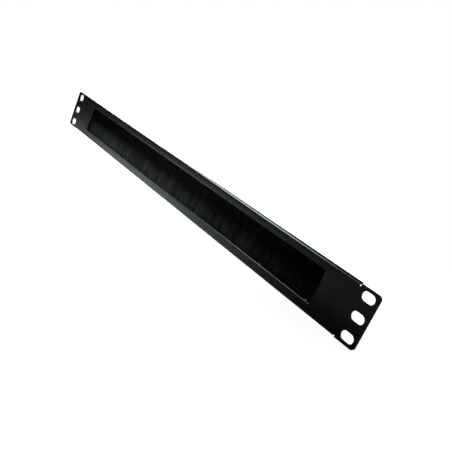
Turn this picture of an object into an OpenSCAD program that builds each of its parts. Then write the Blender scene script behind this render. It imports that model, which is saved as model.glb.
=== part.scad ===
/* [Front panel] */
// Overall width of the panel, the 19-inch rack size
panel_w = 482.6; // [470:0.1:500]
// Overall height of the panel, one rack unit less its clearance
panel_h = 43.6; // [42:0.1:50]
// Thickness of the panel's steel sheet
sheet_t = 1.8; // [1.2:0.1:2.5]
// Depth of the top and bottom lips, from the front face to their back edge
lip_depth = 5; // [4.5:0.1:10]
// Radius inside the two bends
bend_inner_r = 0.2; // [0.1:0.1:1]
// Width of each ear, from the panel's end to the bend relief
ear_w = 17.3; // [16:0.1:21]
// Radius of the ears' outer corners
ear_corner_r = 3; // [1:0.1:5]
// Width of the bend relief between an ear and a lip
relief_w = 2; // [1:0.1:4]
// Depth of metal left whole between the bend and the end of the relief
relief_extra = 0.4; // [0.2:0.1:1.5]

/* [Rack slots] */
// Distance from the panel's end to the slot centres
slot_inset_x = 8.75; // [8:0.05:9.5]
// Distance from an ear's upper or lower edge to the nearest slot centre
slot_inset_z = 5.925; // [5.5:0.005:6.5]
// Length of a slot along the panel
slot_l = 11.4; // [9:0.1:13]
// Height of a slot
slot_w = 7.5; // [6:0.1:8.5]

/* [Cable opening] */
// Width of the plain stretch from the panel's end to the opening
end_strip_w = 46.7; // [44:0.1:60]
// Height of the strip above the opening
top_strip_h = 7; // [6.8:0.1:9]
// Height of the strip below the opening
bottom_strip_h = 8.1; // [7:0.1:10]
// Radius of the opening's corners
opening_corner_r = 0.8; // [0.3:0.1:3]
// Radius that rounds the opening's front edge
opening_edge_r = 0.7; // [0.2:0.1:1.1]

/* [Brush] */
// How far the bristles run on past each end of the opening
bristle_end_overlap = 6; // [2:0.1:7]
// How far the bristle tips reach below the opening
bristle_tip_overlap = 2.8; // [1:0.1:4.5]
// Thickness of the bristle pack at its crests
bristle_pack_t = 3.4; // [3:0.1:4.6]
// Mean width of one tuft along the brush
tuft_pitch = 4; // [2.8:0.1:6]
// Unevenness of the tufts' widths, as a share of the mean width
tuft_stagger = 0.7; // [0:0.05:0.8]
// Depth of the groove between two tufts
tuft_groove = 0.9; // [0.2:0.1:1.1]
// Unevenness of the tuft tips
tip_ragged = 1.2; // [0.4:0.1:2]
// Diameter of the wire that the bristles are folded over
wire_d = 1.8; // [1.2:0.1:2]
// Outside width of the crimped brush channel
channel_w = 5.6; // [5.2:0.1:6.5]
// Height of the crimped brush channel
channel_h = 4.2; // [4:0.1:5]
// Thickness of the brush channel's sheet
channel_t = 0.6; // [0.4:0.1:0.7]
// Width of the brush channel's mouth between its crimped edges
mouth_w = 2.6; // [2.2:0.1:3]
// Space between the bristles and the edges of the mouth
mouth_gap = 0.1; // [0.05:0.05:0.2]
// Height of the slanting, crimped part of the channel's walls
crimp_h = 1.2; // [0.8:0.1:1.5]
// Thickness of the bristles' fold over the wire
fold_t = 0.65; // [0.4:0.05:0.8]

/* [Carrier] */
// Thickness of the carrier's steel sheet
carrier_t = 1.2; // [0.8:0.1:1.5]
// Space between the carrier and the inside of the top lip
carrier_gap = 0.4; // [0.2:0.1:1]
// Space between the carrier's front leg and the edge of the opening
leg_setback = 0.4; // [0.2:0.1:1]
// Height of the carrier's rear leg
rear_leg_h = 7; // [4:0.1:10]
// Radius inside the carrier's bends
carrier_bend_r = 0.3; // [0.1:0.1:0.6]
// Distance from an end tab to the end of the lips
tab_margin = 3; // [1:0.1:5]
// Distance from an end tab to the end of the brush
tab_brush_gap = 2.4; // [1:0.1:4]
// Height of each end tab
tab_h = 29; // [26:0.1:36]
// Radius of the end tabs' lower corners
tab_corner_r = 2; // [0.5:0.1:4]

/* [Fasteners] */
// Diameter of a weld stud's thread
stud_d = 4; // [3:0.1:5]
// Length of a weld stud, from the back of the panel
stud_l = 9; // [8:0.5:16]
// Diameter of a weld stud's foot
stud_foot_d = 5.5; // [5.3:0.1:7]
// Thickness of a weld stud's foot
stud_foot_t = 0.6; // [0.4:0.1:0.8]
// Distance between the two studs of one end tab
stud_pitch_z = 14; // [12:0.1:18]
// Size of the chamfer at a stud's end
stud_chamfer = 0.5; // [0.2:0.1:0.9]
// Clearance around a stud's foot in its tab hole, on the diameter
tab_hole_clear = 0.4; // [0.2:0.1:1]
// Outside diameter of a flat washer
washer_d = 9; // [8.5:0.1:11]
// Thickness of a flat washer
washer_t = 0.8; // [0.5:0.1:1.2]
// Outside diameter of a spring washer
spring_washer_d = 7.2; // [6.6:0.1:8]
// Thickness of a spring washer
spring_washer_t = 1; // [0.8:0.1:1.4]
// Width of the split in a spring washer
spring_gap = 0.7; // [0.4:0.1:1.2]
// Width of a nut across its flats
nut_af = 7; // [6.6:0.1:8]
// Height of a nut
nut_h = 3.2; // [2.4:0.1:4]
// Size of the chamfer on a nut's corners
nut_chamfer = 0.4; // [0.2:0.1:0.6]
// Clearance of a nut's thread on its stud, on the diameter
thread_clear = 0.1; // [0.05:0.05:0.2]
// Clearance of a washer on its stud, on the diameter
washer_clear = 0.3; // [0.1:0.1:0.6]

/* [Hidden] */
// Number of facets that a full circle is drawn with
$fn = 48;
// Extra reach of a cutting tool past the face it cuts
cut = 1;

// Front panel
half_w = panel_w / 2;
half_h = panel_h / 2;
bend_outer_r = bend_inner_r + sheet_t;
front_y = -sheet_t;
lip_back_y = front_y + lip_depth;
// Height at which the flat face ends and the bend begins
face_top = half_h - bend_outer_r;
relief_bottom = face_top - relief_extra;
relief_r = relief_w / 2;
ear_in_x = half_w - ear_w;
lip_end_x = ear_in_x - relief_w;

slot_x = half_w - slot_inset_x;
slot_z = half_h - slot_inset_z;

// Cable opening
opening_w = panel_w - 2 * end_strip_w;
opening_top = half_h - top_strip_h;
opening_bottom = bottom_strip_h - half_h;
opening_h = opening_top - opening_bottom;
opening_mid_z = (opening_top + opening_bottom) / 2;

// Carrier, a folded channel that is open downwards
carrier_top = half_h - sheet_t - carrier_gap;
carrier_w = channel_w + 2 * carrier_t;
leg_bottom = opening_top + leg_setback;

// Brush, hung from the carrier
brush_y = carrier_t + channel_w / 2;
brush_l = opening_w + 2 * bristle_end_overlap;
channel_top = carrier_top - carrier_t;
channel_bottom = channel_top - channel_h;
channel_corner_r = channel_t + carrier_bend_r;
fold_r = wire_d / 2 + fold_t;
wire_z = channel_top - channel_t - fold_r;
pack_top = channel_bottom - mouth_gap;
tip_z = opening_bottom - bristle_tip_overlap;
tuft_count = floor(brush_l / tuft_pitch);
tuft_w = brush_l / tuft_count;
// Share of a tuft's width that slopes down to the groove on each side
tuft_shoulder = 0.28;

// End tabs of the carrier, past the ends of the brush
tab_in_x = brush_l / 2 + tab_brush_gap;
tab_out_x = lip_end_x - tab_margin;
tab_bottom = carrier_top - tab_h;

// Fasteners
stud_x = (tab_in_x + tab_out_x) / 2;
stud_mid_z = (carrier_top + tab_bottom) / 2;
washer_y = carrier_t;
spring_washer_y = washer_y + washer_t;
nut_y = spring_washer_y + spring_washer_t;
// Corner-to-corner width of a hexagon over its width across the flats
hex_corner = 2 / sqrt(3);

// A block between its lowest and highest corners
module block(low, high) {
    translate(low) cube(high - low);
}

// Carries a section drawn in Y and Z along X, centred on the panel
module along_x(length) {
    translate([-length / 2, 0, 0])
        rotate([90, 0, 90])
            linear_extrude(height = length) children();
}

// A round bar along Y, from y to y + length
module bar_y(d, y, length) {
    translate([0, y, 0])
        rotate([-90, 0, 0])
            cylinder(d = d, h = length);
}

// Repeats its children at the left and right end of the panel
module both_ends() {
    children();
    mirror([1, 0, 0]) children();
}

// Repeats its children at the top and bottom of the panel
module both_edges() {
    children();
    mirror([0, 0, 1]) children();
}

// Section of one bend and lip, in Y and Z
module lip_section() {
    translate([bend_inner_r, face_top])
        intersection() {
            difference() {
                circle(r = bend_outer_r);
                circle(r = bend_inner_r);
            }
            translate([-bend_outer_r, 0]) square(bend_outer_r);
        }
    translate([bend_inner_r, half_h - sheet_t])
        square([lip_back_y - bend_inner_r, sheet_t]);
}

// Right-hand ear, with rounded outer corners
module ear() {
    block([ear_in_x, front_y, -half_h], [half_w - ear_corner_r, 0, half_h]);
    block([ear_in_x, front_y, ear_corner_r - half_h], [half_w, 0, half_h - ear_corner_r]);
    both_edges()
        translate([half_w - ear_corner_r, 0, half_h - ear_corner_r])
            bar_y(2 * ear_corner_r, front_y, sheet_t);
}

// Bend relief between an ear and a lip, with a round bottom
module relief_cut() {
    translate([ear_in_x - relief_r, 0, relief_bottom + relief_r]) {
        bar_y(relief_w, front_y - cut, sheet_t + 2 * cut);
        block([-relief_r, front_y - cut, 0], [relief_r, cut, half_h]);
    }
}

// One rack slot, with round ends
module slot_cut() {
    end_x = (slot_l - slot_w) / 2;
    block([-end_x, front_y - cut, -slot_w / 2], [end_x, cut, slot_w / 2]);
    both_ends()
        translate([end_x, 0, 0]) bar_y(slot_w, front_y - cut, sheet_t + 2 * cut);
}

// Section of the opening's rounded edge: X is the depth from the face, Y points out from the wall
module edge_section() {
    difference() {
        translate([-cut, -opening_corner_r])
            square([opening_edge_r + cut, opening_corner_r + opening_edge_r]);
        translate([opening_edge_r, opening_edge_r]) circle(r = opening_edge_r);
    }
}

// Cable opening, with rounded corners and a rounded front edge
module opening_cut() {
    half_ow = opening_w / 2;
    half_oh = opening_h / 2;
    straight_x = half_ow - opening_corner_r;
    straight_z = half_oh - opening_corner_r;
    translate([0, 0, opening_mid_z]) {
        block([-half_ow, front_y - cut, -straight_z], [half_ow, cut, straight_z]);
        block([-straight_x, front_y - cut, -half_oh], [straight_x, cut, half_oh]);
        both_ends() both_edges()
            translate([straight_x, 0, straight_z]) {
                bar_y(2 * opening_corner_r, front_y - cut, sheet_t + 2 * cut);
                translate([0, front_y, 0])
                    rotate([-90, 0, 0])
                        rotate_extrude()
                            translate([opening_corner_r, 0]) mirror([1, -1]) edge_section();
            }
        both_edges()
            translate([0, front_y, half_oh]) along_x(2 * straight_x) edge_section();
        both_ends()
            rotate([0, 90, 0])
                translate([0, front_y, half_ow]) along_x(2 * straight_z) edge_section();
    }
}

// The panel: one sheet, cut, folded back along its top and bottom, and powder coated
module front_panel() {
    color([0.07, 0.075, 0.075])
        difference() {
            union() {
                block([-lip_end_x, front_y, -face_top], [lip_end_x, 0, face_top]);
                both_edges() along_x(2 * lip_end_x) lip_section();
                both_ends() {
                    ear();
                    block(
                        [lip_end_x - cut, front_y, -relief_bottom - relief_r],
                        [ear_in_x + cut, 0, relief_bottom + relief_r]
                    );
                }
            }
            both_ends() {
                both_edges() relief_cut();
                for (row = [-1:1])
                    translate([slot_x, 0, row * slot_z]) slot_cut();
            }
            opening_cut();
        }
}

// A rectangle that stands on the X axis, with its two upper corners rounded
module arch(width, height, r) {
    translate([-width / 2, 0]) square([width, height - r]);
    translate([r - width / 2, 0]) square([width - 2 * r, height]);
    for (side = [-1, 1])
        translate([side * (width / 2 - r), height - r]) circle(r = r);
}

// Section of the carrier's channel, in Y and Z
module carrier_section() {
    translate([brush_y, carrier_top - rear_leg_h])
        difference() {
            arch(carrier_w, rear_leg_h, carrier_t + carrier_bend_r);
            translate([0, -cut]) arch(channel_w, rear_leg_h - carrier_t + cut, carrier_bend_r);
            translate([-carrier_w / 2 - cut, -cut])
                square([cut + 2 * carrier_t, cut + leg_bottom - carrier_top + rear_leg_h]);
        }
}

// Right-hand end tab of the carrier, less its stud holes
module carrier_tab() {
    block([tab_in_x, 0, tab_bottom + tab_corner_r], [tab_out_x, carrier_t, carrier_top]);
    block(
        [tab_in_x + tab_corner_r, 0, tab_bottom],
        [tab_out_x - tab_corner_r, carrier_t, carrier_top]
    );
    for (x = [tab_in_x + tab_corner_r, tab_out_x - tab_corner_r])
        translate([x, 0, tab_bottom + tab_corner_r])
            bar_y(2 * tab_corner_r, 0, carrier_t);
}

// The carrier: one folded sheet that grips the brush and is bolted behind the panel
module brush_carrier() {
    color([0.72, 0.73, 0.74])
        difference() {
            union() {
                along_x(brush_l) carrier_section();
                block(
                    [-tab_out_x, 0, leg_bottom],
                    [tab_out_x, carrier_t, carrier_top - carrier_t - carrier_bend_r]
                );
                both_ends() carrier_tab();
            }
            both_ends()
                for (step = [-1, 1])
                    translate([stud_x, 0, stud_mid_z + step * stud_pitch_z / 2])
                        bar_y(stud_foot_d + tab_hole_clear, -cut, carrier_t + 2 * cut);
        }
}

// Half section of the crimped brush channel, to one side of its middle
module channel_half_section() {
    half_cw = channel_w / 2;
    translate([0, channel_bottom])
        difference() {
            intersection() {
                arch(channel_w, channel_h, channel_corner_r);
                polygon([
                    [0, -cut],
                    [mouth_w / 2 + channel_t, -cut],
                    [mouth_w / 2 + channel_t, 0],
                    [half_cw, crimp_h],
                    [half_cw, channel_h],
                    [0, channel_h]
                ]);
            }
            polygon([
                [-cut, -cut],
                [mouth_w / 2, -cut],
                [mouth_w / 2, 0],
                [half_cw - channel_t, crimp_h],
                [half_cw - channel_t, channel_h - channel_t],
                [-cut, channel_h - channel_t]
            ]);
        }
}

// The brush channel: a strip folded over the bristles' root and crimped shut on it
module brush_channel() {
    color([0.55, 0.56, 0.57])
        translate([0, brush_y, 0])
            along_x(brush_l) {
                channel_half_section();
                mirror([1, 0]) channel_half_section();
            }
}

// The wire that the bristles are folded over inside the channel
module core_wire() {
    color([0.6, 0.6, 0.6])
        translate([-brush_l / 2, brush_y, wire_z])
            rotate([0, 90, 0])
                cylinder(d = wire_d, h = brush_l);
}

// A repeatable uneven value from 0 to 1 for tuft number i
function uneven(i, phase) = 0.5 + 0.3 * sin(i * 97 + phase) + 0.2 * sin(i * 41 + 2 * phase);

// Where tuft number i starts along the brush: the first starts and the last ends at the brush's ends
function tuft_edge(i) =
    -brush_l / 2 + tuft_w * (i + (i > 0 && i < tuft_count ? tuft_stagger * (uneven(i, 140) - 0.5) : 0));

// Depth of the pack's side in the groove before tuft number i
function groove_y(i, phase) = bristle_pack_t / 2 - tuft_groove * (1 + uneven(i + 1, phase)) / 2;

// Outline of one side of the pack, tuft by tuft: each has a groove and two crest points
function tuft_side(phase) = concat(
    [
        for (i = [0:tuft_count - 1])
            let (
                x = tuft_edge(i),
                w = tuft_edge(i + 1) - x,
                crest = bristle_pack_t / 2 - tuft_groove * uneven(i, phase) / 3
            )
            for (point = [
                [x, groove_y(i, phase)],
                [x + w * tuft_shoulder, crest],
                [x + w * (1 - tuft_shoulder), crest]
            ])
                point
    ],
    [[tuft_edge(tuft_count), groove_y(tuft_count, phase)]]
);

// The other side's outline, turned over so that it runs back along the brush
function turned(side) = [for (i = [len(side) - 1:-1:0]) [-side[i][0], -side[i][1]]];

// Uneven lower edge of the pack: each tuft ends in a blunt point between two notches
function tip_line() = [
    for (i = [0:tuft_count - 1])
        let (x = tuft_edge(i), w = tuft_edge(i + 1) - x)
        for (point = [
            [x, tip_z + tip_ragged],
            [x + w * tuft_shoulder, tip_z + tip_ragged * uneven(i, 20) / 2],
            [x + w * (1 - tuft_shoulder), tip_z + tip_ragged * uneven(i, 80) / 2]
        ])
            point
];

// The bristles: one pack, folded over the wire, with its tips hanging behind the panel
module bristle_pack() {
    color([0.04, 0.04, 0.045]) {
        translate([0, brush_y, 0])
            along_x(brush_l)
                difference() {
                    union() {
                        translate([0, wire_z]) circle(r = fold_r);
                        translate([mouth_gap - mouth_w / 2, pack_top - cut])
                            square([mouth_w - 2 * mouth_gap, wire_z - pack_top + cut]);
                    }
                    translate([0, wire_z]) circle(d = wire_d);
                }
        intersection() {
            translate([0, brush_y, tip_z - cut])
                linear_extrude(height = pack_top - tip_z + cut)
                    polygon(concat(
                        turned(tuft_side(0)),
                        [for (i = [len(tuft_side(60)) - 1:-1:0]) [tuft_side(60)[i][0], tuft_side(60)[i][1]]]
                    ));
            translate([0, brush_y + channel_w, 0])
                rotate([90, 0, 0])
                    linear_extrude(height = 2 * channel_w)
                        polygon(concat(
                            tip_line(),
                            [[brush_l / 2, tip_z + tip_ragged], [brush_l / 2, pack_top], [-brush_l / 2, pack_top]]
                        ));
        }
    }
}

// Places its children at one stud: end is -1 left or 1 right, level is -1 lower or 1 upper
module at_stud(end, level) {
    translate([end * stud_x, 0, stud_mid_z + level * stud_pitch_z / 2]) children();
}

// A stud welded by its foot to the back of the panel
module weld_stud() {
    color([0.75, 0.72, 0.62]) {
        bar_y(stud_foot_d, 0, stud_foot_t);
        bar_y(stud_d, 0, stud_l - stud_chamfer);
        translate([0, stud_l - stud_chamfer, 0])
            rotate([-90, 0, 0])
                cylinder(d1 = stud_d, d2 = stud_d - 2 * stud_chamfer, h = stud_chamfer);
    }
}

// A flat washer on the end tab
module flat_washer() {
    color([0.78, 0.78, 0.76])
        difference() {
            bar_y(washer_d, washer_y, washer_t);
            bar_y(stud_d + washer_clear, washer_y - cut, washer_t + 2 * cut);
        }
}

// A split spring washer on the flat washer
module spring_washer() {
    color([0.62, 0.62, 0.6])
        difference() {
            bar_y(spring_washer_d, spring_washer_y, spring_washer_t);
            bar_y(stud_d + washer_clear, spring_washer_y - cut, spring_washer_t + 2 * cut);
            block(
                [-spring_gap / 2, spring_washer_y - cut, 0],
                [spring_gap / 2, spring_washer_y + spring_washer_t + cut, spring_washer_d]
            );
        }
}

// A hexagon nut with both ends chamfered
module nut() {
    corner_r = nut_af * hex_corner / 2;
    color([0.78, 0.78, 0.76])
        difference() {
            intersection() {
                translate([0, nut_y, 0])
                    rotate([-90, 0, 0])
                        cylinder(r = corner_r, h = nut_h, $fn = 6);
                translate([0, nut_y, 0])
                    rotate([-90, 0, 0])
                        rotate_extrude()
                            polygon([
                                [0, 0],
                                [corner_r - nut_chamfer, 0],
                                [corner_r, nut_chamfer],
                                [corner_r, nut_h - nut_chamfer],
                                [corner_r - nut_chamfer, nut_h],
                                [0, nut_h]
                            ]);
            }
            bar_y(stud_d + thread_clear, nut_y - cut, nut_h + 2 * cut);
        }
}

front_panel();
brush_carrier();
brush_channel();
core_wire();
bristle_pack();
at_stud(-1, 1) weld_stud();  // stud_left_upper
at_stud(-1, -1) weld_stud();  // stud_left_lower
at_stud(1, 1) weld_stud();  // stud_right_upper
at_stud(1, -1) weld_stud();  // stud_right_lower
at_stud(-1, 1) flat_washer();  // washer_left_upper
at_stud(-1, -1) flat_washer();  // washer_left_lower
at_stud(1, 1) flat_washer();  // washer_right_upper
at_stud(1, -1) flat_washer();  // washer_right_lower
at_stud(-1, 1) spring_washer();  // spring_washer_left_upper
at_stud(-1, -1) spring_washer();  // spring_washer_left_lower
at_stud(1, 1) spring_washer();  // spring_washer_right_upper
at_stud(1, -1) spring_washer();  // spring_washer_right_lower
at_stud(-1, 1) nut();  // nut_left_upper
at_stud(-1, -1) nut();  // nut_left_lower
at_stud(1, 1) nut();  // nut_right_upper
at_stud(1, -1) nut();  // nut_right_lower
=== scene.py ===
import math

import bpy
import numpy as np
from mathutils import Matrix, Vector


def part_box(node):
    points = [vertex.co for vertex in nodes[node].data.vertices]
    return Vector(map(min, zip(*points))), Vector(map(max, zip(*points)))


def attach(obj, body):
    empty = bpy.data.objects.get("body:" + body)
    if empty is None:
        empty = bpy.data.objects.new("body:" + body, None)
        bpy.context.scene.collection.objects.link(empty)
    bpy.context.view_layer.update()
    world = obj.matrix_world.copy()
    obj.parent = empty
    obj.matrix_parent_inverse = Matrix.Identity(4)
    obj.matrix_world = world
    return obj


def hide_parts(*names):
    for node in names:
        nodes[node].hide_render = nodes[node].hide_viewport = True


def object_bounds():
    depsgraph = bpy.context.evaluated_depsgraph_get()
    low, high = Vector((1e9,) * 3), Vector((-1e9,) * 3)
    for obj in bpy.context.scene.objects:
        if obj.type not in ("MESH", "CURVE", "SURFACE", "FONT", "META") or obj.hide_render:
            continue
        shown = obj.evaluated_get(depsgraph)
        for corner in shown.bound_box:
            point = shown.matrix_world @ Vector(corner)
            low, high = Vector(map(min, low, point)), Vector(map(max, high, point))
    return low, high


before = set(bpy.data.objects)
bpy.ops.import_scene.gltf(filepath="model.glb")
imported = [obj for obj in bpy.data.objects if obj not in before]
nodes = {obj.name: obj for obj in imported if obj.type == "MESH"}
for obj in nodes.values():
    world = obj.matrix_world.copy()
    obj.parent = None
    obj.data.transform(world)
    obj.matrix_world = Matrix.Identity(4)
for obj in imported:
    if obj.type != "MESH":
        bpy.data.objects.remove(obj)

cad_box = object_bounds()
MM = 0.001


# Front panel: one piece of 1.8 mm mild steel sheet, laser cut, with a long lip folded back along
# its upper and its lower edge and two bare ears with three rack slots each. It is powder coated
# in fine-texture satin black after folding, so every cut edge is softly rounded by the coat.
def deselect_all():
    bpy.ops.object.select_all(action="DESELECT")


def make_active(piece):
    deselect_all()
    piece.select_set(True)
    bpy.context.view_layer.objects.active = piece


def merged_copy(node_name, piece_name):
    piece = bpy.data.objects.new(piece_name, nodes[node_name].data.copy())
    bpy.context.scene.collection.objects.link(piece)
    make_active(piece)
    bpy.ops.object.mode_set(mode="EDIT")
    bpy.ops.mesh.select_all(action="SELECT")
    bpy.ops.mesh.remove_doubles(threshold=0.002 * MM)
    bpy.ops.mesh.dissolve_limited(angle_limit=math.radians(1.5))
    bpy.ops.mesh.normals_make_consistent(inside=False)
    bpy.ops.object.mode_set(mode="OBJECT")
    return piece


def soften_edges(piece, width, segments, sharp_angle):
    make_active(piece)
    bpy.ops.object.shade_smooth_by_angle(angle=math.radians(sharp_angle))
    bevel = piece.modifiers.new("edge_radius", "BEVEL")
    bevel.width = width
    bevel.segments = segments
    bevel.limit_method = "ANGLE"
    bevel.angle_limit = math.radians(sharp_angle)
    bevel.harden_normals = True
    bpy.ops.object.modifier_apply(modifier=bevel.name)


def new_material(name):
    material = bpy.data.materials.new(name)
    material.use_nodes = True
    tree = material.node_tree
    return material, tree, tree.nodes["Principled BSDF"]


def object_coordinates(tree, stretch=(1, 1, 1)):
    coordinates = tree.nodes.new("ShaderNodeTexCoord")
    mapping = tree.nodes.new("ShaderNodeMapping")
    mapping.inputs["Scale"].default_value = stretch
    tree.links.new(coordinates.outputs["Object"], mapping.inputs["Vector"])
    return mapping.outputs["Vector"]


def noise(tree, vector, size, detail=2.0, roughness=0.5):
    texture = tree.nodes.new("ShaderNodeTexNoise")
    texture.inputs["Scale"].default_value = 1 / size
    texture.inputs["Detail"].default_value = detail
    texture.inputs["Roughness"].default_value = roughness
    tree.links.new(vector, texture.inputs["Vector"])
    return texture.outputs["Fac"]


def colours_between(tree, factor, stops):
    ramp = tree.nodes.new("ShaderNodeValToRGB")
    while len(ramp.color_ramp.elements) < len(stops):
        ramp.color_ramp.elements.new(0.5)
    for element, (place, colour) in zip(ramp.color_ramp.elements, stops):
        element.position = place
        element.color = (*colour, 1)
    tree.links.new(factor, ramp.inputs["Fac"])
    return ramp.outputs["Color"]


def values_between(tree, factor, low, high):
    spread = tree.nodes.new("ShaderNodeMapRange")
    spread.inputs["From Min"].default_value = 0.3
    spread.inputs["From Max"].default_value = 0.7
    spread.inputs["To Min"].default_value = low
    spread.inputs["To Max"].default_value = high
    tree.links.new(factor, spread.inputs["Value"])
    return spread.outputs["Result"]


def add_bump(tree, shader, height, depth, strength, under=None):
    bump = tree.nodes.new("ShaderNodeBump")
    bump.inputs["Distance"].default_value = depth
    bump.inputs["Strength"].default_value = strength
    tree.links.new(height, bump.inputs["Height"])
    if under is not None:
        tree.links.new(under, bump.inputs["Normal"])
    tree.links.new(bump.outputs["Normal"], shader.inputs["Normal"])
    return bump.outputs["Normal"]


COAT_EDGE_R = 0.2 * MM
FOLD_ANGLE = 35
panel = merged_copy("front_panel", "front_panel_sheet")
soften_edges(panel, COAT_EDGE_R, 2, FOLD_ANGLE)
powder_coat, tree, shader = new_material("satin_black_powder_coat")
place = object_coordinates(tree)
blotches = noise(tree, place, 22 * MM, 3)
grain = noise(tree, place, 0.45 * MM, 3, 0.6)
orange_peel = noise(tree, place, 2.2 * MM, 1)
tree.links.new(
    colours_between(tree, blotches, [(0.3, (0.0052, 0.0066, 0.0060)), (0.7, (0.0082, 0.0098, 0.0090))]),
    shader.inputs["Base Color"],
)
tree.links.new(values_between(tree, blotches, 0.20, 0.26), shader.inputs["Roughness"])
shader.inputs["Specular Tint"].default_value = (0.84, 1.0, 0.95, 1)
peel = add_bump(tree, shader, orange_peel, 0.02 * MM, 0.5)
add_bump(tree, shader, grain, 0.012 * MM, 0.6, peel)
panel.data.materials.clear()
panel.data.materials.append(powder_coat)
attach(panel, "root")
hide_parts("front_panel")


# Brush carrier: galvanised steel strip bent to an upside-down U, with a flat tab at each end that
# is bolted to the studs. The zinc has large, faint crystals and dulls unevenly.
galvanised, tree, shader = new_material("galvanised_steel_strip")
place = object_coordinates(tree)
spangle = tree.nodes.new("ShaderNodeTexVoronoi")
spangle.inputs["Scale"].default_value = 1 / (5 * MM)
tree.links.new(place, spangle.inputs["Vector"])
cells = tree.nodes.new("ShaderNodeSeparateColor")
tree.links.new(spangle.outputs["Color"], cells.inputs["Color"])
dulling = noise(tree, place, 12 * MM, 4)
tree.links.new(
    colours_between(tree, cells.outputs["Red"], [(0.0, (0.42, 0.44, 0.45)), (1.0, (0.60, 0.62, 0.63))]),
    shader.inputs["Base Color"],
)
tree.links.new(values_between(tree, dulling, 0.32, 0.5), shader.inputs["Roughness"])
shader.inputs["Metallic"].default_value = 1.0
add_bump(tree, shader, dulling, 0.02 * MM, 0.3)
nodes["brush_carrier"].data.materials[0] = galvanised


# Brush channel: thin bright steel strip, folded over the root of the bristles and crimped along
# its mouth by rollers, which leave faint drawn lines along it.
channel_steel, tree, shader = new_material("drawn_channel_steel")
place = object_coordinates(tree, (0.05, 1, 1))
drawn_lines = noise(tree, place, 0.3 * MM, 4)
tree.links.new(
    colours_between(tree, drawn_lines, [(0.3, (0.40, 0.40, 0.40)), (0.7, (0.56, 0.56, 0.55))]),
    shader.inputs["Base Color"],
)
tree.links.new(values_between(tree, drawn_lines, 0.28, 0.42), shader.inputs["Roughness"])
shader.inputs["Metallic"].default_value = 1.0
add_bump(tree, shader, drawn_lines, 0.01 * MM, 0.3)
nodes["brush_channel"].data.materials[0] = channel_steel


# Core wire: round drawn steel wire that the bristles are folded over, seen only at the two ends
# of the channel, where it is cut off flush.
wire_steel, tree, shader = new_material("drawn_steel_wire")
place = object_coordinates(tree, (0.1, 1, 1))
die_marks = noise(tree, place, 0.2 * MM, 3)
tree.links.new(
    colours_between(tree, die_marks, [(0.3, (0.36, 0.36, 0.37)), (0.7, (0.52, 0.52, 0.53))]),
    shader.inputs["Base Color"],
)
tree.links.new(values_between(tree, die_marks, 0.3, 0.45), shader.inputs["Roughness"])
shader.inputs["Metallic"].default_value = 1.0
nodes["core_wire"].data.materials[0] = wire_steel


# Bristles: black nylon filaments of about 0.2 mm, packed side by side over the core wire and folded
# down on both sides of it. They hang in loose tufts that lean and open a little, and their cut tips,
# ragged by a millimetre or so, hang behind the lower rim of the opening.
bristle_low, bristle_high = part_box("bristle_pack")
wire_low, wire_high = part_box("core_wire")
channel_low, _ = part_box("brush_channel")
wire_mid = (wire_low + wire_high) / 2
mouth_z = channel_low.z
pack_mid_y = (bristle_low.y + bristle_high.y) / 2
FILAMENT_R = 0.12 * MM
BODY_THINNING = 0.8
BODY_SHORTENING = 0.96
TUFTS = 98
FILAMENTS_A_TUFT = 92
SIDE_MARGIN = 0.13 * MM
RAGGED = 1.5 * MM
draw = np.random.default_rng(7)

bristle_nylon, tree, shader = new_material("black_nylon_bristle")
tufts = noise(tree, object_coordinates(tree, (1, 1, 0.12)), 2.4 * MM, 3)
strands = noise(tree, object_coordinates(tree, (1, 1, 0.04)), 0.3 * MM, 2)
# Painted shade: the bristles are near black at the top, standing in for the shade under the upper rim
# of the opening, and get lighter downward.
SHADED_TOP_BLACK = (0.0012, 0.0015, 0.0013, 1)
# Painted light: the lower bristles get much paler colours, in streaks from tuft to tuft, standing in
# for the overhead light that catches them.
LIT_TUFT_DARK = (0.012, 0.0150, 0.0135)
LIT_TUFT_PALE = (0.086, 0.098, 0.090)
lower_lit_colours = colours_between(tree, tufts, [(0.3, LIT_TUFT_DARK), (0.7, LIT_TUFT_PALE)])
height = tree.nodes.new("ShaderNodeSeparateXYZ")
tree.links.new(object_coordinates(tree), height.inputs["Vector"])
# The edge of this painted shade wanders up and down from tuft to tuft.
uneven_shade_line = tree.nodes.new("ShaderNodeMath")
uneven_shade_line.operation = "MULTIPLY_ADD"
uneven_shade_line.inputs[1].default_value = 14 * MM
tree.links.new(tufts, uneven_shade_line.inputs[0])
tree.links.new(height.outputs["Z"], uneven_shade_line.inputs[2])
# Painted shade ramp: full shade from 11 mm above the middle, none from 7 mm below it.
painted_shade_ramp = tree.nodes.new("ShaderNodeMapRange")
painted_shade_ramp.inputs["From Min"].default_value = 11 * MM
painted_shade_ramp.inputs["From Max"].default_value = -7 * MM
tree.links.new(uneven_shade_line.outputs["Value"], painted_shade_ramp.inputs["Value"])
shade_and_light_blend = tree.nodes.new("ShaderNodeMix")
shade_and_light_blend.data_type = "RGBA"
shade_and_light_blend.inputs[6].default_value = SHADED_TOP_BLACK
tree.links.new(painted_shade_ramp.outputs["Result"], shade_and_light_blend.inputs[0])
tree.links.new(lower_lit_colours, shade_and_light_blend.inputs[7])
tree.links.new(shade_and_light_blend.outputs[2], shader.inputs["Base Color"])
shader.inputs["IOR"].default_value = 1.12
tree.links.new(values_between(tree, strands, 0.36, 0.52), shader.inputs["Roughness"])
add_bump(tree, shader, strands, 0.1 * MM, 0.6)


def finish_bristles(piece):
    piece.data.materials.clear()
    piece.data.materials.append(bristle_nylon)
    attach(piece, "root")
    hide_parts("bristle_pack")


def pack_side(x, front):
    start = Vector((x, -50 * MM if front else 50 * MM, 0))
    hit, place, _, _ = nodes["bristle_pack"].ray_cast(start, Vector((0, 1 if front else -1, 0)))
    return place.y if hit else pack_mid_y


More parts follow.
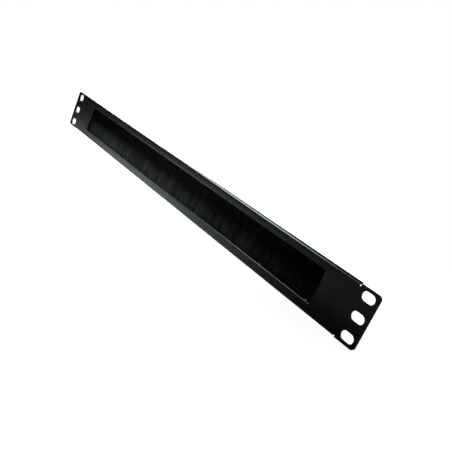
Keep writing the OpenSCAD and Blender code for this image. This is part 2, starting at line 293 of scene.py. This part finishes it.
SIDE_STEP = 0.4 * MM
side_x = np.arange(bristle_low.x + 0.05 * MM, bristle_high.x, SIDE_STEP)
front_side = np.array([pack_side(x, True) for x in side_x])
back_side = np.array([pack_side(x, False) for x in side_x])
edges = np.cumsum(draw.uniform(0.6, 1.4, TUFTS + 1))
edges = bristle_low.x + (edges - edges[0]) / (edges[-1] - edges[0]) * (bristle_high.x - bristle_low.x)


def filament_path(left, right, lean, gather, reach):
    across = draw.uniform(-1, 1)
    front = draw.uniform() < 0.5
    inset = SIDE_MARGIN + abs(draw.normal(0, 0.22 * MM)) + reach
    wander = draw.normal(0, 0.3 * MM) * (5 if draw.uniform() < 0.05 else 1)
    tip_z = bristle_low.z + 0.1 * MM + draw.uniform() ** 1.5 * RAGGED
    middle, half = (left + right) / 2, (right - left) / 2
    root_x = middle + across * half
    outward = -1 if front else 1
    neck_y = wire_mid.y + outward * draw.uniform(0.2, 1.05) * MM
    points = [
        (root_x, wire_mid.y + outward * 0.1 * MM, wire_high.z + 0.3 * MM),
        (root_x, wire_mid.y + outward * 1.2 * MM, wire_mid.z),
        (root_x, neck_y, mouth_z),
    ]
    for share in (0.18, 0.45, 0.74, 1.0):
        narrowing = 1 - (1 - gather) * math.sin(min(share * 1.2, 1) * math.pi / 2)
        x = middle + across * half * narrowing + lean * share ** 1.5 + wander * share
        x = min(max(x, bristle_low.x + SIDE_MARGIN), bristle_high.x - SIDE_MARGIN)
        side = np.interp(x, side_x, front_side if front else back_side)
        outer_y = side - outward * inset
        y = neck_y + (outer_y - neck_y) * min(1, share * 2.2)
        points.append((x, y, mouth_z + (tip_z - mouth_z) * share))
    return points


def filament_mesh(name, paths):
    corners = [(math.cos(turn), math.sin(turn)) for turn in (0, 2 * math.pi / 3, 4 * math.pi / 3)]
    vertices = []
    faces = []
    for path in paths:
        base = len(vertices)
        last = len(path) - 1
        twist = draw.uniform(0, 2 * math.pi)
        for index, point in enumerate(path):
            along = Vector(path[min(index + 1, last)]) - Vector(path[max(index - 1, 0)])
            along.normalize()
            first = along.cross(Vector((math.cos(twist), 0.3, math.sin(twist) * 0.1))).normalized()
            second = along.cross(first)
            for c, s in corners:
                vertices.append(Vector(point) + FILAMENT_R * (c * first + s * second))
        for ring in range(last):
            for k in range(3):
                a = base + ring * 3 + k
                b = base + ring * 3 + (k + 1) % 3
                faces.append((a, b, b + 3, a + 3))
        faces.append((base + 2, base + 1, base))
        faces.append((base + last * 3, base + last * 3 + 1, base + last * 3 + 2))
    mesh = bpy.data.meshes.new(name)
    mesh.from_pydata(vertices, [], faces)
    piece = bpy.data.objects.new(name, mesh)
    bpy.context.scene.collection.objects.link(piece)
    return piece


paths = []
for tuft in range(TUFTS):
    lean = draw.normal(0, 0.6 * MM)
    gather = draw.uniform(0.75, 1.0)
    reach = draw.uniform(0, 0.12 * MM)
    for _ in range(FILAMENTS_A_TUFT):
        paths.append(filament_path(edges[tuft], edges[tuft + 1], lean, gather, reach))
STRAYS = ((-35 * MM, -1.2 * MM), (17 * MM, 0.8 * MM), (156 * MM, -0.9 * MM))
for stray_x, slant in STRAYS:
    paths.append(
        [
            (stray_x - slant, pack_mid_y - 0.5 * MM, mouth_z),
            (stray_x - slant * 0.6, bristle_low.y + 0.5 * MM, 2 * MM),
            (stray_x - slant * 0.3, 0.8 * MM, -7 * MM),
            (stray_x, -1.2 * MM, -12 * MM),
            (stray_x + slant * 0.3, -2.0 * MM, -14 * MM),
            (stray_x + slant * 0.6, -2.0 * MM, -16 * MM),
        ]
    )
third = TUFTS * FILAMENTS_A_TUFT // 3
shares = {
    "left": paths[:third],
    "centre": paths[third:2 * third],
    "right": paths[2 * third:3 * third],
    "stray": paths[3 * third:],
}
for share, chosen in shares.items():
    finish_bristles(filament_mesh("bristles_" + share, chosen))

bristle_body = merged_copy("bristle_pack", "bristle_body")
for vertex in bristle_body.data.vertices:
    if vertex.co.z < mouth_z:
        vertex.co.y = pack_mid_y + (vertex.co.y - pack_mid_y) * BODY_THINNING
        vertex.co.z = mouth_z + (vertex.co.z - mouth_z) * BODY_SHORTENING
finish_bristles(bristle_body)


# Weld studs: M4 threaded studs, copper flashed and stud-welded by a small foot to the back of the
# panel, two behind each end of the opening. The copper is thin and slightly tarnished.
THREAD_PITCH = 0.7 * MM
THREAD_DEPTH = 0.36 * MM
THREAD_R = 1.98 * MM
FOOT_T = 0.6 * MM
STUD_CHAMFER = 0.5 * MM
STUD_SIDES = 24
RINGS_A_TURN = 6
stud_copper, tree, shader = new_material("copper_flashed_steel")
tarnish = noise(tree, object_coordinates(tree), 1.5 * MM, 4)
tree.links.new(
    colours_between(tree, tarnish, [(0.3, (0.42, 0.20, 0.11)), (0.7, (0.72, 0.38, 0.24))]),
    shader.inputs["Base Color"],
)
tree.links.new(values_between(tree, tarnish, 0.28, 0.48), shader.inputs["Roughness"])
shader.inputs["Metallic"].default_value = 1.0


def stud_radius(height, turn, foot_r, length):
    if height <= FOOT_T:
        return foot_r
    wave = abs((height / THREAD_PITCH - turn) % 1 * 2 - 1)
    fade = min(1, (height - FOOT_T) / THREAD_PITCH, max(0, length - height) / STUD_CHAMFER + 0.3)
    chamfer = max(0, height - (length - STUD_CHAMFER))
    return THREAD_R - THREAD_DEPTH * wave * fade - chamfer


for name in sorted(nodes):
    if not name.startswith("stud"):
        continue
    low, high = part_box(name)
    middle = (low + high) / 2
    heights = [0, FOOT_T]
    while heights[-1] < high.y - 0.02 * MM:
        heights.append(min(heights[-1] + THREAD_PITCH / RINGS_A_TURN, high.y))
    heights.insert(2, FOOT_T + 0.01 * MM)
    vertices = []
    for height in heights:
        for side in range(STUD_SIDES):
            turn = side / STUD_SIDES
            radius = stud_radius(height, turn, (high.x - low.x) / 2, high.y)
            angle = 2 * math.pi * turn
            across = radius * math.cos(angle)
            upward = radius * math.sin(angle)
            vertices.append((middle.x + across, height, middle.z + upward))
    faces = []
    for ring in range(len(heights) - 1):
        for side in range(STUD_SIDES):
            a = ring * STUD_SIDES + side
            b = ring * STUD_SIDES + (side + 1) % STUD_SIDES
            faces.append((a, a + STUD_SIDES, b + STUD_SIDES, b))
    faces.append(tuple(range(STUD_SIDES)))
    top = (len(heights) - 1) * STUD_SIDES
    faces.append(tuple(top + side for side in reversed(range(STUD_SIDES))))
    mesh = bpy.data.meshes.new("threaded_" + name)
    mesh.from_pydata(vertices, [], faces)
    stud = bpy.data.objects.new("threaded_" + name, mesh)
    bpy.context.scene.collection.objects.link(stud)
    make_active(stud)
    bpy.ops.object.mode_set(mode="EDIT")
    bpy.ops.mesh.select_all(action="SELECT")
    bpy.ops.mesh.normals_make_consistent(inside=False)
    bpy.ops.object.mode_set(mode="OBJECT")
    stud.data.materials.append(stud_copper)
    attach(stud, "root")
    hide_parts(name)


# Washers and nuts: bright zinc plated, with a faint blue cast and a slightly milky, uneven shine.
zinc_plate, tree, shader = new_material("bright_zinc_plate")
place = object_coordinates(tree)
milky = noise(tree, place, 1.2 * MM, 4)
tree.links.new(
    colours_between(tree, milky, [(0.3, (0.52, 0.55, 0.58)), (0.7, (0.72, 0.74, 0.75))]),
    shader.inputs["Base Color"],
)
tree.links.new(values_between(tree, milky, 0.2, 0.36), shader.inputs["Roughness"])
shader.inputs["Metallic"].default_value = 1.0
for name in nodes:
    if "washer" in name or "nut" in name:
        nodes[name].data.materials[0] = zinc_plate


# Floor: a plain white table that carries the panel's soft shadow. The camera sees it fade to pure
# white a hand's breadth away from the panel.
SHADOW_LEVEL = 0.80
FLOOR_SIZE = 6
floor_z = cad_box[0][2]
deselect_all()
bpy.ops.mesh.primitive_plane_add(size=FLOOR_SIZE, location=(0, 0, floor_z))
floor = bpy.context.object
floor.name = "floor"
floor_paint, tree, shader = new_material("white_table")
tree.nodes.remove(shader)
matt = tree.nodes.new("ShaderNodeBsdfDiffuse")
matt.inputs["Color"].default_value = (0.8, 0.8, 0.8, 1)
distance = tree.nodes.new("ShaderNodeVectorMath")
distance.operation = "LENGTH"
tree.links.new(object_coordinates(tree, (0.5, 1, 1)), distance.inputs[0])
fade = tree.nodes.new("ShaderNodeMapRange")
fade.inputs["From Min"].default_value = 0.05
fade.inputs["From Max"].default_value = 0.13
fade.inputs["To Min"].default_value = SHADOW_LEVEL
fade.inputs["To Max"].default_value = 1.0
tree.links.new(distance.outputs["Value"], fade.inputs["Value"])
rays = tree.nodes.new("ShaderNodeLightPath")
seen = tree.nodes.new("ShaderNodeMath")
seen.operation = "MULTIPLY"
tree.links.new(rays.outputs["Is Camera Ray"], seen.inputs[0])
tree.links.new(fade.outputs["Result"], seen.inputs[1])
white = tree.nodes.new("ShaderNodeEmission")
tree.links.new(seen.outputs["Value"], white.inputs["Strength"])
both = tree.nodes.new("ShaderNodeAddShader")
tree.links.new(matt.outputs["BSDF"], both.inputs[0])
tree.links.new(white.outputs["Emission"], both.inputs[1])
tree.links.new(both.outputs["Shader"], tree.nodes["Material Output"].inputs["Surface"])
floor.data.materials.append(floor_paint)


# Studio: a white surround that only the camera sees, a small overhead box that lights a pool round
# the middle of the panel, a strip and a box to the left for the folded edges, a weak box behind.
world = bpy.data.worlds.new("studio")
world.use_nodes = True
bpy.context.scene.world = world
tree = world.node_tree
rays = tree.nodes.new("ShaderNodeLightPath")
level = tree.nodes.new("ShaderNodeMapRange")
level.inputs["To Min"].default_value = 0.02
level.inputs["To Max"].default_value = 1.0
tree.links.new(rays.outputs["Is Camera Ray"], level.inputs["Value"])
tree.nodes["Background"].inputs["Color"].default_value = (1, 1, 1, 1)
tree.links.new(level.outputs["Result"], tree.nodes["Background"].inputs["Strength"])


def soft_box(name, centre, target, width, height, power, spread):
    lamp = bpy.data.lights.new(name, "AREA")
    lamp.shape = "RECTANGLE"
    lamp.size = width
    lamp.size_y = height
    lamp.energy = power
    lamp.spread = math.radians(spread)
    holder = bpy.data.objects.new(name, lamp)
    bpy.context.scene.collection.objects.link(holder)
    holder.location = centre
    away = Vector(centre) - Vector(target)
    holder.rotation_euler = away.to_track_quat("Z", "Y").to_euler()
    holder.visible_camera = False
    return holder


soft_box("overhead_soft_box", (-0.06, -0.11, 0.45), (-0.07, 0.055, 0.0), 0.22, 0.12, 0.47, 47)
fold_light = soft_box("fold_light", (-0.22, -0.10, 0.44), (0.12, 0.0, 0.02), 0.50, 0.20, 0.70, 80)
folded_parts = bpy.data.collections.new("folded_parts")
folded_parts.objects.link(panel)
fold_light.light_linking.receiver_collection = folded_parts
soft_box("left_soft_box", (-0.85, 0.50, 0.45), (0.0, 0.05, 0.03), 0.50, 0.40, 0.45, 36)
soft_box("rear_soft_box", (0.25, 0.90, 0.55), (0.05, 0.0, 0.0), 0.90, 0.50, 0.14, 70)


# Camera: stands to the right in front of the panel, a little above it, tilted on its side.
TURN = math.radians(42.52)
RISE = math.radians(14.61)
TILT = math.radians(24.15)
DISTANCE = 0.439182
AIM_X = 0.087037
AIM_Z = -0.004325
SENSOR_WIDTH = 36
LENS_LENGTH = 503.131 / 452 * SENSOR_WIDTH
target = Vector((AIM_X, cad_box[0][1], AIM_Z))
back = Vector((math.sin(TURN) * math.cos(RISE), -math.cos(TURN) * math.cos(RISE), math.sin(RISE)))
right = (-back).cross(Vector((0, 0, 1))).normalized()
up = right.cross(-back)
tilted_right = math.cos(TILT) * right + math.sin(TILT) * up
tilted_up = -math.sin(TILT) * right + math.cos(TILT) * up
eye = target + DISTANCE * back
lens = bpy.data.cameras.new("camera")
lens.sensor_width = SENSOR_WIDTH
lens.lens = LENS_LENGTH
lens.clip_start = 0.01
camera = bpy.data.objects.new("camera", lens)
bpy.context.scene.collection.objects.link(camera)
camera.matrix_world = Matrix(
    (
        (tilted_right.x, tilted_up.x, back.x, eye.x),
        (tilted_right.y, tilted_up.y, back.y, eye.y),
        (tilted_right.z, tilted_up.z, back.z, eye.z),
        (0, 0, 0, 1),
    )
)
bpy.context.scene.camera = camera
bpy.context.scene.view_settings.view_transform = "Standard"
